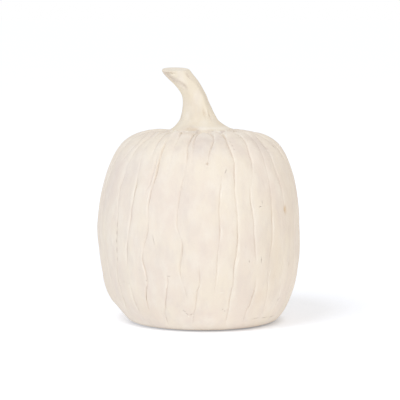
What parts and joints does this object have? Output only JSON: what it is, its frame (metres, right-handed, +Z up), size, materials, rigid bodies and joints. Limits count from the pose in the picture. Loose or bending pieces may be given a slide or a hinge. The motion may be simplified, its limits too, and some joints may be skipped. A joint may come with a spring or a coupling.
{
  "type": "ceramic pumpkin figure",
  "caption": "Tall matte ceramic pumpkin figure with hand-cut vertical furrows, a curved stem leaning left, a hollow shell and felt pads under its foot.",
  "frame": {"origin": "centre of the bounding box, on the table under the pads", "axes": "+Z up; the furrowed front faces -Y; +X to the viewer's right, so the stem leans to -X"},
  "size_m": [0.1498, 0.1498, 0.1872],
  "materials": {
    "body_engobe": "matte chalky off-white coat over fired clay, brushed, slightly mottled",
    "stem_engobe": "the same matte chalky off-white coat, slightly rougher",
    "slip": "matte fired slip, smoothed with a finger",
    "felt": "pressed off-white felt",
    "adhesive": "milky pressure-sensitive adhesive film"
  },
  "bodies": {
    "root": {"body_shell": "body_engobe", "stem": "stem_engobe", "stem_lute": "slip", "felt_pad_front_right": "felt", "pad_adhesive_front_right": "adhesive", "felt_pad_back_right": "felt", "pad_adhesive_back_right": "adhesive", "felt_pad_back_left": "felt", "pad_adhesive_back_left": "adhesive", "felt_pad_front_left": "felt", "pad_adhesive_front_left": "adhesive"}
  },
  "joints": []
}
